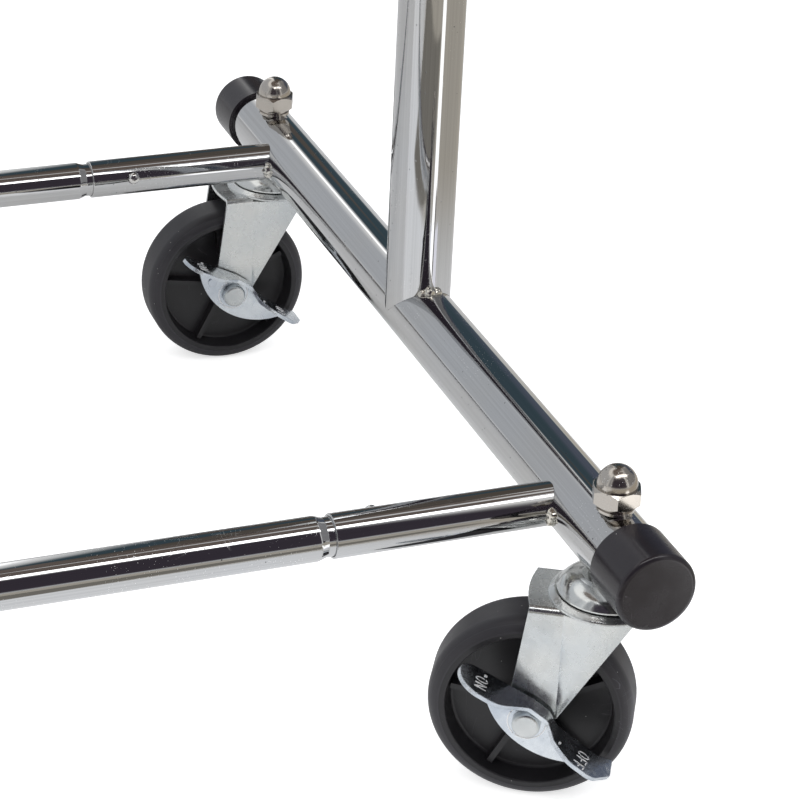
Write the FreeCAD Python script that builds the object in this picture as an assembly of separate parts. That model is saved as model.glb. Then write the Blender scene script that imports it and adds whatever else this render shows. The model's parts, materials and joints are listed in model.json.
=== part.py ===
"""Rolling clothes rack with two welded end frames, knock-down rails and four braked swivel casters.

Millimetres. X runs along the hanging rail, Y from front (-) to rear (+), Z up from the floor.
The origin is on the floor, under the middle of the rack.
"""
import FreeCAD, Part
import math
import os

from FreeCAD import Vector

# Main frame tube: the two feet and the two posts
tube_od = 36.0
tube_wall = 1.6
foot_length = 615.0
foot_spacing = 1488.0
post_length = 1530.0
cope_gap = 0.05

# Base rails, hanging rail and the stubs that they plug into
base_rail_od = 22.0
base_rail_wall = 1.2
base_rail_spacing = 437.6
base_stub_reach = 127.5
hanging_rail_od = 28.0
hanging_rail_wall = 1.4
hanging_rail_drop = 60.0
hanging_stub_reach = 105.0

# Plug joint: the rail's necked end, its shoulder, and the spring button that locks it
spigot_length = 60.0
spigot_clearance = 0.15
spigot_wall = 1.2
shoulder_length = 4.0
joint_gap = 3.6
stub_lip_radius = 0.5
button_radius = 3.4
button_hole_clearance = 0.25
button_protrusion = 3.6
button_inset = 24.5
button_tilt = 15.0
button_flush_margin = 0.2
leaf_thickness = 0.8
leaf_width = 7.0
leaf_length = 20.0
leaf_play = 0.35
spring_gap = 0.5

# Push-on plastic caps on the tube ends
cap_wall = 2.2
cap_end = 3.5
cap_grip = 27.5
cap_corner_radius = 2.5
cap_clearance = 0.05

# Tack welds
weld_radius = 3.2
weld_half_angle = 26.0
weld_sag_angle = 8.0

# Caster position, from the ends of the foot, and stem
front_stem_inset = 47.0
rear_stem_inset = 56.0
stem_radius = 7.0
stem_hole_clearance = 0.5
stem_head_radius = 11.0
stem_head_thickness = 5.0
stem_thread_in_nut = 12.0

# Dome nut, on a split spring washer and a flat washer
washer_thickness = 1.4
washer_radius = 9.3
spring_washer_thickness = 2.4
spring_washer_radius = 8.4
spring_washer_split = 1.2
nut_across_flats = 22.2
nut_hex_height = 8.7
nut_dome_radius = 9.9
nut_neck_height = 0.6
nut_bore_clearance = 0.1
nut_chamfer = 1.6
nut_turn = 8.0

# Swivel head
cover_radius = 24.8
cover_shoulder_radius = 21.8
cover_shoulder_drop = 3.4
cover_shoulder_rounding = 11.0
cover_neck_radius = 15.0
cover_neck_drop = 0.9
cover_top_radius = 13.0
cover_height = 8.6
cover_rim = 0.9
race_gap = 0.6
race_step = 0.5
dish_radius = 28.5
dish_foot_radius = 25.2
dish_edge = 1.0
dish_height = 3.0
dish_lip_width = 2.0
dish_wall = 5.8
ball_radius = 2.5
ball_pitch_radius = 17.0
ball_play = 0.1
ball_count = 14
running_clearance = 0.08
axial_clearance = 0.3

# Fork
fork_sheet = 2.0
fork_inner_width = 36.0
fork_bend_radius = 3.0
fork_drop = 62.3
fork_front = 16.1
fork_back = 35.6
fork_back_bow = 2.2
fork_crease = 18.9
fork_foot_radius = 11.0
leg_tip_width = 0.6
leg_bow = 4.0
leg_flare = 1.6
wheel_trail = 32.3

# Wheel and axle
wheel_diameter = 101.6
wheel_width = 30.5
shoulder_radius = 7.9
tyre_seat_radius = 44.5
rim_setback = 0.25
rim_inner_radius = 41.5
rim_draft = 1.5
web_thickness = 8.0
hub_radius = 12.0
hub_width = 33.0
rib_count = 5
rib_thickness = 3.0
rib_height = 6.0
rib_phase = 9.0
axle_radius = 4.0
sleeve_radius = 6.0
sleeve_end_clearance = 0.05
axle_head_radius = 7.0
axle_head_thickness = 4.2
axle_end_thickness = 3.0

# Brake lever: a plate on the axle whose top edge is folded out into two foot wings
lever_sheet = 2.3
lever_standoff = 2.0
lever_boss_radius = 9.0
lever_disc_radius = 43.5
lever_disc_rise = 31.0
lever_disc_offset = -4.0
lever_front_rise = 5.2
lever_rear_rise = 7.4
lever_rear_tip_rise = 3.6
lever_hump_rise = 9.2
lever_hump_half = 5.0
lever_front_foot = 13.0
lever_rear_foot = 17.0
lever_rear_length = 44.5
lever_front_length = 47.0
lever_front_cut = 9.5
lever_wing_reach = 20.5
lever_waist_reach = 9.0
lever_waist_half = 6.0
lever_wing_start = 22.0
lever_wing_radius = 14.0
lever_tip_radius = 12.5
lever_heel_radius = 7.0
lever_toe_radius = 9.0
lever_corner_radius = 1.2
lever_bend_radius = 5.0
lever_sweep_radius = 9.0
lever_tab_length = 9.0
lever_tab_reach = 5.0
lever_tab_square = 9.0
lever_dimple_offset = 17.0
lever_dimple_radius = 2.6
lever_dimple_height = 0.8
lever_rest_angle = 35.0

# Where each caster stands at rest: the direction in which its wheel trails, from +X
trail_direction = {
    "right_front": 150.5,
    "right_rear": 179.4,
    "left_front": 29.5,
    "left_rear": 0.6,
}

# Values that follow from those above
tube_radius = tube_od / 2
wheel_radius = wheel_diameter / 2
plate_top = -(tube_radius + cover_height + race_gap + dish_height)
axle_level = plate_top - fork_drop
foot_height = wheel_radius - axle_level
fork_half = fork_inner_width / 2 + fork_sheet
nut_seat = tube_radius + washer_thickness + spring_washer_thickness
front_stem_offset = foot_length / 2 - front_stem_inset
rear_stem_offset = foot_length / 2 - rear_stem_inset
stem_offsets = {"front": -front_stem_offset, "rear": rear_stem_offset}
hanging_height = foot_height + post_length - hanging_rail_drop
sides = {"right": 1, "left": -1}
ends = {"front": -1, "rear": 1}

X = Vector(1, 0, 0)
Y = Vector(0, 1, 0)
Z = Vector(0, 0, 1)
ORIGIN = Vector(0, 0, 0)


def export(node, shapes):
    """Write one node. Several separate pieces go into it as separate solids."""
    shape = shapes[0] if len(shapes) == 1 else Part.makeCompound(shapes)
    shape.exportStep("parts/" + node + ".step")


def rod(radius, start, end):
    return Part.makeCylinder(radius, (end - start).Length, start, end - start)


def pipe(outer, inner, start, end):
    return rod(outer, start, end).cut(rod(inner, start, end))


def outline(points, radii=None):
    """Closed wire in the XZ plane through (x, z) points, each corner rounded by its radius."""
    corners = [Vector(x, 0, z) for x, z in points]
    radii = radii or [0] * len(corners)
    count = len(corners)
    edges = []
    arrivals = []
    departures = []
    arcs = []
    for i, corner in enumerate(corners):
        back = (corners[i - 1] - corner).normalize()
        ahead = (corners[(i + 1) % count] - corner).normalize()
        if radii[i] == 0:
            arrivals.append(corner)
            departures.append(corner)
            arcs.append(None)
            continue
        half = back.getAngle(ahead) / 2
        setback = radii[i] / math.tan(half)
        centre = corner + (back + ahead).normalize() * (radii[i] / math.sin(half))
        middle = centre + (corner - centre).normalize() * radii[i]
        arrivals.append(corner + back * setback)
        departures.append(corner + ahead * setback)
        arcs.append(Part.Arc(arrivals[i], middle, departures[i]).toShape())
    for i in range(count):
        if arcs[i]:
            edges.append(arcs[i])
        follower = (i + 1) % count
        if (departures[i] - arrivals[follower]).Length > 1e-6:
            edges.append(Part.makeLine(departures[i], arrivals[follower]))
    return Part.Wire(Part.__sortEdges__(edges))


def turned(points, radii=None):
    """Solid of revolution about Z of a closed (radius, height) outline."""
    return Part.Face(outline(points, radii)).revolve(ORIGIN, Z, 360)


def slab(points, radii, low, high):
    """Plate with an (x, z) outline, from Y = low to Y = high."""
    face = Part.Face(outline(points, radii))
    face.translate(Vector(0, low, 0))
    return face.extrude(Vector(0, high - low, 0))


def along_y(shape):
    """Lay a shape made about Z along Y."""
    return shape.rotated(ORIGIN, X, -90)


# Frame: feet, posts, rails and stubs

def foot_tube(side):
    """Foot of one end frame, drilled through for the two caster stems."""
    x = sides[side] * foot_spacing / 2
    half = Vector(0, foot_length / 2, 0)
    centre = Vector(x, 0, foot_height)
    tube = pipe(tube_radius, tube_radius - tube_wall, centre - half, centre + half)
    for offset in stem_offsets.values():
        stem = centre + Y * offset
        reach = Z * tube_od
        tube = tube.cut(rod(stem_radius + stem_hole_clearance, stem - reach, stem + reach))
    return tube


def foot_core(side):
    """The room that a foot takes up, for cutting what is coped onto it."""
    x = sides[side] * foot_spacing / 2
    half = Vector(0, foot_length / 2, 0)
    centre = Vector(x, 0, foot_height)
    return rod(tube_radius + cope_gap, centre - half, centre + half)


def post(side):
    """Upright tube, coped onto the middle of its foot."""
    base = Vector(sides[side] * foot_spacing / 2, 0, foot_height)
    tube = pipe(tube_radius, tube_radius - tube_wall, base, base + Z * post_length)
    return tube.cut(foot_core(side))


def post_core(side):
    base = Vector(sides[side] * foot_spacing / 2, 0, foot_height)
    return rod(tube_radius, base, base + Z * post_length)


class Rail:
    """One rail with a plug joint at each end."""

    def __init__(self, od, wall, y, z, reach, button_way):
        self.radius = od / 2
        self.bore = od / 2 - wall
        self.spigot = self.bore - spigot_clearance
        self.spigot_bore = self.spigot - spigot_wall
        self.y = y
        self.z = z
        self.mouth = foot_spacing / 2 - reach
        self.button_way = button_way
        self.button_x = self.mouth + button_inset
        self.leaf_top = math.sqrt(self.spigot_bore ** 2 - (leaf_width / 2) ** 2) - leaf_play

    def at(self, x):
        return Vector(x, self.y, self.z)

    def button_hole(self, side):
        centre = self.at(sides[side] * self.button_x)
        return rod(button_radius + button_hole_clearance, centre, centre + self.button_way * self.radius * 2)

    def tube(self):
        """The rail: a tube whose ends neck down over a rounded shoulder into spigots."""
        neck = self.mouth - joint_gap
        tip = self.mouth + spigot_length
        step = self.radius - self.spigot
        outer = [(0, -tip), (self.spigot, -tip), (self.spigot, -neck), (self.radius, -neck + shoulder_length),
                 (self.radius, neck - shoulder_length), (self.spigot, neck), (self.spigot, tip), (0, tip)]
        inner = [(0, -tip), (self.spigot_bore, -tip), (self.spigot_bore, -neck + shoulder_length),
                 (self.bore, -neck + shoulder_length + step), (self.bore, neck - shoulder_length - step),
                 (self.spigot_bore, neck - shoulder_length), (self.spigot_bore, tip), (0, tip)]
        soft = [0, 0, step / 2, shoulder_length * 0.8, shoulder_length * 0.8, step / 2, 0, 0]
        bar = turned(outer, soft).cut(turned(inner))
        bar = bar.rotated(ORIGIN, Y, 90)
        bar.translate(Vector(0, self.y, self.z))
        for side in sides:
            bar = bar.cut(self.button_hole(side))
        return bar

    def stub(self, side, carrier):
        """Short tube welded to the foot or post, with a rolled mouth and a hole for the button."""
        way = sides[side]
        root = self.at(way * foot_spacing / 2)
        mouth = self.at(way * self.mouth)
        tube = pipe(self.radius, self.bore, root, mouth).cut(carrier)
        lip = [edge for edge in tube.Edges if abs(edge.BoundBox.XMax - mouth.x) < 1e-6
               and abs(edge.BoundBox.XMin - mouth.x) < 1e-6]
        return tube.makeFillet(stub_lip_radius, lip).cut(self.button_hole(side))

    def placed(self, shape, side):
        """Turn a piece made about the button's axis (+Z out, +X to the rack's middle) into place."""
        if side == "right":
            shape = shape.mirror(ORIGIN, X)
        turn = FreeCAD.Rotation(Z, self.button_way)
        shape = shape.copy()
        shape.Placement = FreeCAD.Placement(self.at(sides[side] * self.button_x), turn).multiply(shape.Placement)
        return shape

    def button(self, side):
        """Round-nosed button on the free end of its spring leaf."""
        top = self.radius + button_protrusion
        foot = self.leaf_top - leaf_thickness
        nose = button_radius * 0.7
        peg = turned([(0, foot), (button_radius, foot), (button_radius, top), (0, top)], [0, 0, nose, 0])
        leaf = Part.makeBox(leaf_length, leaf_width, leaf_thickness,
                            Vector(-leaf_width / 2, -leaf_width / 2, foot))
        return self.placed(peg.fuse(leaf).removeSplitter(), side)

    def spring(self, side):
        """Hairpin spring: its back lies on the far wall and its bend meets the button's leaf."""
        back = -self.leaf_top
        front = self.leaf_top
        bend = (front - back) / 2
        start = leaf_length - leaf_width / 2 + spring_gap
        centre = Vector(start, -leaf_width / 2, (front + back) / 2)
        ring = pipe(bend, bend - leaf_thickness, centre, centre + Y * leaf_width)
        ring = ring.common(Part.makeBox(bend * 2, leaf_width, bend * 4, centre - Z * bend * 2))
        leg = Part.makeBox(start + leaf_width / 2, leaf_width, leaf_thickness,
                           Vector(-leaf_width / 2, -leaf_width / 2, back))
        return self.placed(ring.fuse(leg).removeSplitter(), side)

    def travel(self):
        """How far the button is pushed in to free the joint."""
        return button_protrusion + self.radius - self.spigot + button_flush_margin


def rails():
    lean = math.radians(button_tilt)
    made = {}
    for end, way in ends.items():
        inward = Vector(0, -way * math.cos(lean), math.sin(lean))
        made[end + "_base_rail"] = Rail(base_rail_od, base_rail_wall, way * base_rail_spacing / 2,
                                        foot_height, base_stub_reach, inward)
    made["hanging_rail"] = Rail(hanging_rail_od, hanging_rail_wall, 0, hanging_height,
                                hanging_stub_reach, Vector(0, -math.cos(lean), -math.sin(lean)))
    return made


def end_cap(centre, way):
    """Closed sleeve pushed over a tube end at centre, facing way."""
    outer = tube_radius + cap_wall
    inner = tube_radius + cap_clearance
    cup = turned([(0, 0), (inner, 0), (inner, -cap_grip), (outer, -cap_grip), (outer, cap_end), (0, cap_end)],
                 [0, 0, 0, 0, cap_corner_radius, 0])
    cup.Placement = FreeCAD.Placement(centre, FreeCAD.Rotation(Z, way))
    return cup


def tack_weld(radius, centre, axis, towards, carrier):
    """Bead that hugs a round tube over a short arc, where the tube meets its carrier."""
    side = axis.cross(towards).normalize()
    low = Vector(radius, 0, -weld_radius)
    high = Vector(radius, 0, weld_radius)
    crown = Part.Arc(low, Vector(radius + weld_radius, 0, 0), high).toShape()
    bead = Part.Face(Part.Wire([crown, Part.makeLine(high, low)])).revolve(ORIGIN, Z, weld_half_angle * 2)
    start = towards * math.cos(math.radians(weld_half_angle)) - side * math.sin(math.radians(weld_half_angle))
    bead.Placement = FreeCAD.Placement(centre, FreeCAD.Rotation(start, axis.cross(start), axis, "ZXY"))
    return bead.cut(carrier)


def weld_beads(rail_set):
    """Two tack welds on each stub and on the foot of each post."""
    beads = []
    sag = math.radians(weld_sag_angle)
    for side, way in sides.items():
        for name, rail in rail_set.items():
            carrier = post_core(side) if name == "hanging_rail" else foot_core(side)
            seat = rail.at(way * (foot_spacing / 2 - math.sqrt(tube_radius ** 2 - (rail.radius / 2) ** 2)))
            for facing in ends.values():
                towards = Vector(0, facing * math.cos(sag), -math.sin(sag))
                beads.append(tack_weld(rail.radius, seat, X, towards, carrier))
        saddle = Vector(way * foot_spacing / 2, 0, foot_height + tube_radius)
        for facing in ends.values():
            beads.append(tack_weld(tube_radius, saddle, Z, Y * facing, foot_core(side)))
    return beads


# Casters, made about the stem: +X is the way the wheel trails, +Y the lever's side,
# and Z = 0 is the middle of the foot tube

def dome_nut():
    """Acorn nut with chamfered corners and a blind hole."""
    hex_top = nut_seat + nut_hex_height
    neck = hex_top + nut_neck_height
    flat = nut_across_flats / 2
    corner = nut_across_flats / math.sqrt(3)
    prism = [Vector(corner, 0, nut_seat)]
    for i in range(6):
        prism.append(FreeCAD.Rotation(Z, 60).multVec(prism[-1]))
    body = Part.Face(Part.makePolygon(prism)).extrude(Z * nut_hex_height)
    body = body.common(turned([(0, nut_seat), (flat, nut_seat), (corner, nut_seat + nut_chamfer),
                               (corner, hex_top - nut_chamfer), (flat, hex_top), (0, hex_top)]))
    collar = rod(nut_dome_radius, Z * nut_seat, Z * neck)
    ball = Part.makeSphere(nut_dome_radius, Z * neck, Z, 0, 90, 360)
    hole = rod(stem_radius + nut_bore_clearance, Z * nut_seat,
               Z * (nut_seat + stem_thread_in_nut + nut_neck_height))
    return body.fuse([collar, ball]).removeSplitter().cut(hole)


def flat_washer():
    bore = stem_radius + nut_bore_clearance
    return pipe(washer_radius, bore, Z * tube_radius, Z * (tube_radius + washer_thickness))


def spring_washer():
    """Split ring between the flat washer and the nut."""
    bottom = tube_radius + washer_thickness
    ring = pipe(spring_washer_radius, stem_radius + nut_bore_clearance, Z * bottom, Z * nut_seat)
    slot = Part.makeBox(spring_washer_radius * 2, spring_washer_split, spring_washer_thickness,
                        Vector(0, -spring_washer_split / 2, bottom))
    return ring.cut(slot)


def stem():
    """Bolt that holds the caster: its head is under the fork and its thread in the dome nut."""
    head_top = plate_top - fork_sheet - axial_clearance
    shank = rod(stem_radius, Z * (head_top - stem_head_thickness), Z * (nut_seat + stem_thread_in_nut))
    head = turned([(0, head_top - stem_head_thickness), (stem_head_radius, head_top - stem_head_thickness),
                   (stem_head_radius, head_top), (0, head_top)], [0, 1.5, 0, 0])
    return shank.fuse(head).removeSplitter()


def race_cover():
    """Domed upper race, clamped under the foot by the stem."""
    rim_bottom = plate_top + dish_height + race_gap
    underside = plate_top + 2 * ball_radius + 2 * ball_play
    bore = stem_radius + nut_bore_clearance
    inside = dish_radius - dish_wall - race_step
    return turned([(bore, -tube_radius), (bore, underside), (inside, underside), (inside, rim_bottom),
                   (cover_radius, rim_bottom), (cover_radius, rim_bottom + cover_rim),
                   (cover_shoulder_radius, -tube_radius - cover_shoulder_drop),
                   (cover_neck_radius, -tube_radius - cover_neck_drop), (cover_top_radius, -tube_radius)],
                  [0, 0, 0, 0, 0, cover_rim / 2, cover_shoulder_rounding, 1.0, 0])


def race_balls():
    level = plate_top + ball_radius + ball_play
    balls = []
    for i in range(ball_count):
        turn = 2 * math.pi * i / ball_count
        centre = Vector(ball_pitch_radius * math.cos(turn), ball_pitch_radius * math.sin(turn), level)
        balls.append(Part.makeSphere(ball_radius, centre))
    return balls


def tangent_point(start, centre, radius, way):
    """Where a line from start touches a circle, on the side that way gives."""
    dx = start[0] - centre[0]
    dz = start[1] - centre[1]
    reach = math.hypot(dx, dz)
    angle = math.atan2(dz, dx) + way * math.acos(radius / reach)
    return (centre[0] + radius * math.cos(angle), centre[1] + radius * math.sin(angle))


def bowed(back, front, bow, low, level):
    """Level wire between two (x, y) corners, bowed outwards to bow and closed along y = low."""
    start = Vector(back[0], back[1], level)
    end = Vector(front[0], front[1], level)
    start_low = Vector(back[0], low, level)
    end_low = Vector(front[0], low, level)
    return Part.Wire([Part.Arc(start, Vector(bow[0], bow[1], level), end).toShape(), Part.makeLine(end, end_low),
                      Part.makeLine(end_low, start_low), Part.makeLine(start_low, start)])


def leg_wedge(face, lead, tip, overhang):
    """Wedge from a bowed top edge down to a point at the foot of the leg's crease."""
    low = face - fork_sheet
    back = fork_crease + overhang
    front = lead - overhang
    foot = fork_crease - leg_tip_width - overhang
    top = bowed((back, face), (front, face + leg_flare), ((back + front) / 2, face + leg_bow),
                low, plate_top - fork_sheet)
    bottom = bowed((back, face), (foot, face), ((back + foot) / 2, face + leg_tip_width / 10), low, tip)
    return Part.makeLoft([top, bottom], True, True)


def leg_front(tip, lead):
    """Curved front facet of a leg: it flares out from the crease towards the race ring."""
    outer = leg_wedge(fork_half, lead, tip, 0)
    return outer.cut(leg_wedge(fork_half - fork_sheet, lead, tip, leg_tip_width))


def plate_tongue():
    """Rounded back edge of the fork's top plate, between the two folds."""
    half = fork_half - fork_bend_radius
    inside = fork_back - fork_sheet
    left = Vector(fork_back, -half, plate_top - fork_sheet)
    right = Vector(fork_back, half, plate_top - fork_sheet)
    edge = Part.Arc(left, Vector(fork_back + fork_back_bow, 0, left.z), right).toShape()
    return Part.Face(Part.Wire([edge, Part.makeLine(right, Vector(inside, half, left.z)),
                                Part.makeLine(Vector(inside, half, left.z), Vector(inside, -half, left.z)),
                                Part.makeLine(Vector(inside, -half, left.z), left)])).extrude(Z * fork_sheet)


def fork():
    """Folded sheet fork: two tapering legs under a top plate with the pressed lower race."""
    axle = (wheel_trail, axle_level)
    section_bottom = axle_level - fork_foot_radius
    inner = fork_inner_width / 2
    bend_inside = fork_bend_radius - fork_sheet
    shell = Part.Face(outline([(-fork_half, section_bottom), (-fork_half, plate_top), (fork_half, plate_top),
                               (fork_half, section_bottom), (inner, section_bottom),
                               (inner, plate_top - fork_sheet), (-inner, plate_top - fork_sheet),
                               (-inner, section_bottom)],
                              [0, fork_bend_radius, fork_bend_radius, 0, 0, bend_inside, bend_inside, 0]))
    channel = shell.rotated(ORIGIN, Z, 90)
    channel.translate(X * fork_crease)
    channel = channel.extrude(X * (wheel_trail + fork_foot_radius - fork_crease))
    front = (-fork_front, plate_top)
    back = (fork_back, plate_top)
    front_foot = tangent_point(front, axle, fork_foot_radius, 1)
    side_view = slab([front, back, tangent_point(back, axle, fork_foot_radius, -1), front_foot],
                     None, -fork_half, fork_half)
    side_view = side_view.fuse(rod(fork_foot_radius, Vector(wheel_trail, -fork_half, axle_level),
                                   Vector(wheel_trail, fork_half, axle_level)))
    legs = channel.common(side_view)
    slope = (front_foot[0] + fork_front) / (front_foot[1] - plate_top)
    tip = plate_top + (fork_crease + fork_front) / slope
    lead = -fork_front - slope * fork_sheet
    facet = leg_front(tip, lead)
    lip = plate_top + dish_height
    dish = turned([(0, plate_top - fork_sheet), (dish_foot_radius, plate_top - fork_sheet),
                   (dish_radius, plate_top - dish_edge / 4), (dish_radius, plate_top + dish_edge),
                   (dish_radius - dish_wall + dish_lip_width + 1, lip), (dish_radius - dish_wall + 1, lip),
                   (dish_radius - dish_wall, plate_top), (0, plate_top)],
                  [0, 0, dish_edge / 2, dish_edge, dish_edge, 0.8, 0, 0])
    shape = legs.fuse([plate_tongue(), dish, facet, facet.mirror(ORIGIN, Y)]).removeSplitter()
    bore = stem_radius + running_clearance
    shape = shape.cut(rod(bore, Z * (plate_top - fork_sheet * 2), Z * (plate_top + fork_sheet)))
    return shape.cut(rod(axle_radius + sleeve_end_clearance, Vector(wheel_trail, -fork_half, axle_level),
                         Vector(wheel_trail, fork_half, axle_level)))


def lever_plane():
    """Distance from the wheel's middle to the inner face of the lever's plate."""
    return fork_half + lever_standoff


def at_axle(shape):
    """Lay a piece made about Z along the wheel's axle."""
    shape = along_y(shape)
    shape.translate(Vector(wheel_trail, 0, axle_level))
    return shape


def axle():
    """Shouldered rivet: a low domed head over the lever and a set end under the other leg."""
    head_base = lever_plane() + lever_sheet + axial_clearance
    head_top = head_base + axle_head_thickness
    tail = -fork_half - axle_end_thickness
    return at_axle(turned([(0, tail), (axle_head_radius, tail), (axle_head_radius, -fork_half),
                           (axle_radius, -fork_half), (axle_radius, head_base), (axle_head_radius, head_base),
                           (axle_head_radius, head_top), (0, head_top)],
                          [0, 1.0, 0, 0, 0, 0, 1.8, 0]))


def axle_sleeve():
    half = fork_inner_width / 2 - sleeve_end_clearance
    return at_axle(pipe(sleeve_radius, axle_radius + sleeve_end_clearance, Z * -half, Z * half))


def tyre():
    """Solid tyre with rounded shoulders."""
    half = wheel_width / 2
    drop = tyre_seat_radius - (wheel_radius - shoulder_radius)
    edge = half - shoulder_radius + math.sqrt(shoulder_radius ** 2 - drop ** 2)
    tread = half - shoulder_radius
    slant = math.sqrt(0.5) * shoulder_radius
    centre = wheel_radius - shoulder_radius
    upper = Part.Arc(Vector(wheel_radius, 0, tread), Vector(centre + slant, 0, tread + slant),
                     Vector(tyre_seat_radius, 0, edge))
    lower = Part.Arc(Vector(tyre_seat_radius, 0, -edge), Vector(centre + slant, 0, -tread - slant),
                     Vector(wheel_radius, 0, -tread))
    loop = Part.Wire([Part.makeLine(Vector(wheel_radius, 0, -tread), Vector(wheel_radius, 0, tread)),
                      upper.toShape(),
                      Part.makeLine(Vector(tyre_seat_radius, 0, edge), Vector(tyre_seat_radius, 0, -edge)),
                      lower.toShape()])
    return at_axle(Part.Face(loop).revolve(ORIGIN, Z, 360))


def wheel_core():
    """Moulded wheel centre: hub, web, five ribs a side and the rim that carries the tyre."""
    rim = wheel_width / 2 - rim_setback
    web = web_thickness / 2
    hub = hub_width / 2
    bore = sleeve_radius + running_clearance
    root = rim_inner_radius - rim_draft
    disc = turned([(bore, -hub), (hub_radius, -hub), (hub_radius, -web), (root, -web), (rim_inner_radius, -rim),
                   (tyre_seat_radius, -rim), (tyre_seat_radius, rim), (rim_inner_radius, rim), (root, web),
                   (hub_radius, web), (hub_radius, hub), (bore, hub)],
                  [0, 1.0, 1.5, 1.5, 0.8, 0, 0, 0.8, 1.5, 1.5, 1.0, 0])
    span = root - hub_radius + rim_draft
    height = web_thickness + 2 * rib_height
    rib = Part.makeBox(span, rib_thickness, height, Vector(hub_radius - rim_draft, -rib_thickness / 2, -height / 2))
    ribs = [rib.rotated(ORIGIN, Z, -rib_phase + 360 * i / rib_count) for i in range(rib_count)]
    return at_axle(disc.fuse(ribs).removeSplitter())


def lever_plan():
    """Outline of the foot wings seen from above: (along the lever, away from the wheel)."""
    inner = lever_plane()
    reach = inner + lever_wing_reach
    waist = inner + lever_waist_reach
    front = -lever_front_length
    rear = lever_rear_length
    bend = lever_bend_radius
    return outline([(front, inner - lever_tab_reach), (front, inner + lever_tab_square),
                    (front + lever_front_cut, reach), (-lever_wing_start, reach), (-lever_waist_half, waist),
                    (lever_waist_half, waist), (lever_wing_start, reach), (rear, reach), (rear, inner),
                    (front + lever_tab_length, inner)],
                   [lever_corner_radius, lever_corner_radius, lever_toe_radius, lever_wing_radius, bend, bend,
                    lever_wing_radius, lever_tip_radius, lever_heel_radius, 0])


def brake_lever():
    """Brake lever, level, then turned to its released angle about the axle."""
    inner = lever_plane()
    outer = inner + lever_sheet
    bottom = lever_disc_rise - lever_disc_radius - lever_sheet
    path = [(-lever_front_length, lever_front_rise), (-lever_front_foot, lever_front_rise),
            (-lever_hump_half, lever_hump_rise), (lever_hump_half, lever_hump_rise),
            (lever_rear_foot, lever_rear_rise), (lever_rear_length, lever_rear_tip_rise)]
    bends = [0, lever_bend_radius, lever_bend_radius, lever_sweep_radius, lever_sweep_radius, 0]
    above = [(x, z + lever_sheet) for x, z in reversed(path)]
    strip = slab(path + above, bends + bends[::-1], inner - lever_tab_reach, inner + lever_wing_reach)
    plan = Part.Face(lever_plan()).rotated(ORIGIN, X, -90).mirror(ORIGIN, Z)
    wings = strip.common(plan.extrude(Z * (lever_hump_rise + 2 * lever_sheet)))
    disc = rod(lever_disc_radius, Vector(lever_disc_offset, inner, lever_disc_rise),
               Vector(lever_disc_offset, outer, lever_disc_rise))
    below = slab(path + [(lever_rear_length, bottom), (-lever_front_length, bottom)], bends + [0, 0], inner, outer)
    boss = rod(lever_boss_radius, Vector(0, fork_half + axial_clearance, 0), Vector(0, outer, 0))
    dimple = rod(lever_dimple_radius, Vector(lever_dimple_offset, inner, 0),
                 Vector(lever_dimple_offset, outer + lever_dimple_height, 0))
    bore = rod(axle_radius + running_clearance, Vector(0, fork_half, 0), Vector(0, outer, 0))
    shape = disc.common(below).fuse([wings, boss, dimple]).removeSplitter().cut(bore)
    shape = shape.rotated(ORIGIN, Y, -lever_rest_angle)
    shape.translate(Vector(wheel_trail, 0, axle_level))
    return shape


def caster_place(name):
    side, end = name.split("_")
    spot = Vector(sides[side] * foot_spacing / 2, stem_offsets[end], foot_height)
    return FreeCAD.Placement(spot, FreeCAD.Rotation(Z, trail_direction[name]))


def moved(shape, place):
    shape = shape.copy()
    shape.Placement = place.multiply(shape.Placement)
    return shape


def build():
    os.makedirs("parts", exist_ok=True)
    rail_set = rails()
    for side, way in sides.items():
        export(side + "_foot_tube", [foot_tube(side)])
        export(side + "_post", [post(side)])
        top = Vector(way * foot_spacing / 2, 0, foot_height + post_length)
        export(side + "_post_cap", [end_cap(top, Z)])
        for end, facing in ends.items():
            tip = Vector(way * foot_spacing / 2, facing * foot_length / 2, foot_height)
            export(side + "_" + end + "_foot_cap", [end_cap(tip, Y * facing)])
    springs = []
    for name, rail in rail_set.items():
        export(name, [rail.tube()])
        for side in sides:
            carrier = post_core(side) if name == "hanging_rail" else foot_core(side)
            export(side + "_" + name + "_stub", [rail.stub(side, carrier)])
            export(side + "_" + name + "_button", [rail.button(side)])
            springs.append(rail.spring(side))
    export("button_springs", springs)
    export("weld_beads", weld_beads(rail_set))
    places = {name: caster_place(name) for name in trail_direction}
    export("caster_stems", [moved(stem(), place) for place in places.values()])
    seats = [FreeCAD.Placement(place.Base, FreeCAD.Rotation(Z, nut_turn)) for place in places.values()]
    export("dome_nuts", [moved(dome_nut(), seat) for seat in seats])
    export("spring_washers", [moved(spring_washer(), seat) for seat in seats])
    export("flat_washers", [moved(flat_washer(), seat) for seat in seats])
    export("race_covers", [moved(race_cover(), place) for place in places.values()])
    export("race_balls", [moved(ball, place) for place in places.values() for ball in race_balls()])
    pieces = {"fork": fork(), "axle": axle(), "axle_sleeve": axle_sleeve(), "wheel_core": wheel_core(),
              "tyre": tyre(), "brake_lever": brake_lever()}
    for name, place in places.items():
        for piece, shape in pieces.items():
            export(name + "_" + piece, [moved(shape, place)])


build()
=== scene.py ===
"""Looks of the rolling clothes rack: chromed tube frames, knock-down rails and four braked casters.

Metres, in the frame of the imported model.
"""
import json
import math

import bmesh
import bpy
from mathutils import Matrix, Vector, noise


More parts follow.
